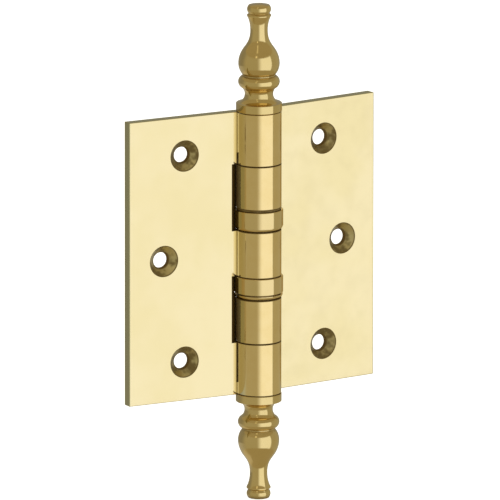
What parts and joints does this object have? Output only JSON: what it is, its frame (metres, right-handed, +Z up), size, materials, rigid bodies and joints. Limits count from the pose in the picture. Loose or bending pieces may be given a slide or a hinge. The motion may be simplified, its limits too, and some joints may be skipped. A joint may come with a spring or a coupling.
{
  "type": "door hinge",
  "caption": "Solid brass butt hinge for a door, with turned urn finials, ball-bearing collars in the barrel and countersunk screw holes in each leaf.",
  "frame": {"origin": "on the pin axis, halfway up the hinge", "axes": "+Z up along the pin axis; -X out along the fixed leaf; -Y out of the fixed leaf's screw face"},
  "size_m": [0.1013, 0.0203, 0.1784],
  "materials": {
    "polished_brass": "polished",
    "race_brass": "satin",
    "cage_brass": "satin",
    "pin_steel": "satin",
    "bearing_steel": "polished"
  },
  "bodies": {
    "fixed_leaf": {"left_leaf": "polished_brass", "hinge_pin": "pin_steel", "top_finial": "polished_brass", "bottom_finial": "polished_brass", "upper_bearing_shell": "polished_brass", "upper_bearing_bottom_race": "race_brass", "lower_bearing_shell": "polished_brass", "lower_bearing_top_race": "race_brass"},
    "moving_leaf": {"right_leaf": "polished_brass", "upper_bearing_top_race": "race_brass", "lower_bearing_bottom_race": "race_brass"},
    "upper_ball_ring": {"upper_bearing_cage": "cage_brass", "upper_bearing_ball_01": "bearing_steel", "upper_bearing_ball_02": "bearing_steel", "upper_bearing_ball_03": "bearing_steel", "upper_bearing_ball_04": "bearing_steel", "upper_bearing_ball_05": "bearing_steel", "upper_bearing_ball_06": "bearing_steel", "upper_bearing_ball_07": "bearing_steel", "upper_bearing_ball_08": "bearing_steel", "upper_bearing_ball_09": "bearing_steel", "upper_bearing_ball_10": "bearing_steel", "upper_bearing_ball_11": "bearing_steel", "upper_bearing_ball_12": "bearing_steel"},
    "lower_ball_ring": {"lower_bearing_cage": "cage_brass", "lower_bearing_ball_01": "bearing_steel", "lower_bearing_ball_02": "bearing_steel", "lower_bearing_ball_03": "bearing_steel", "lower_bearing_ball_04": "bearing_steel", "lower_bearing_ball_05": "bearing_steel", "lower_bearing_ball_06": "bearing_steel", "lower_bearing_ball_07": "bearing_steel", "lower_bearing_ball_08": "bearing_steel", "lower_bearing_ball_09": "bearing_steel", "lower_bearing_ball_10": "bearing_steel", "lower_bearing_ball_11": "bearing_steel", "lower_bearing_ball_12": "bearing_steel"}
  },
  "joints": [
    {"name": "leaf_swing", "type": "hinge", "parent": "fixed_leaf", "child": "moving_leaf", "pos_m": [0, 0, 0], "axis": [0, 0, 1], "range_deg": [-188, 82]},
    {"name": "upper_ball_orbit", "type": "hinge", "parent": "fixed_leaf", "child": "upper_ball_ring", "pos_m": [0, 0, 0.01227], "axis": [0, 0, 1], "range_deg": [-94, 41]},
    {"name": "lower_ball_orbit", "type": "hinge", "parent": "fixed_leaf", "child": "lower_ball_ring", "pos_m": [0, 0, -0.01227], "axis": [0, 0, 1], "range_deg": [-94, 41]}
  ],
  "couplings": [
    {"joint": "upper_ball_orbit", "follows": "leaf_swing", "ratio": 0.5},
    {"joint": "lower_ball_orbit", "follows": "leaf_swing", "ratio": 0.5}
  ]
}
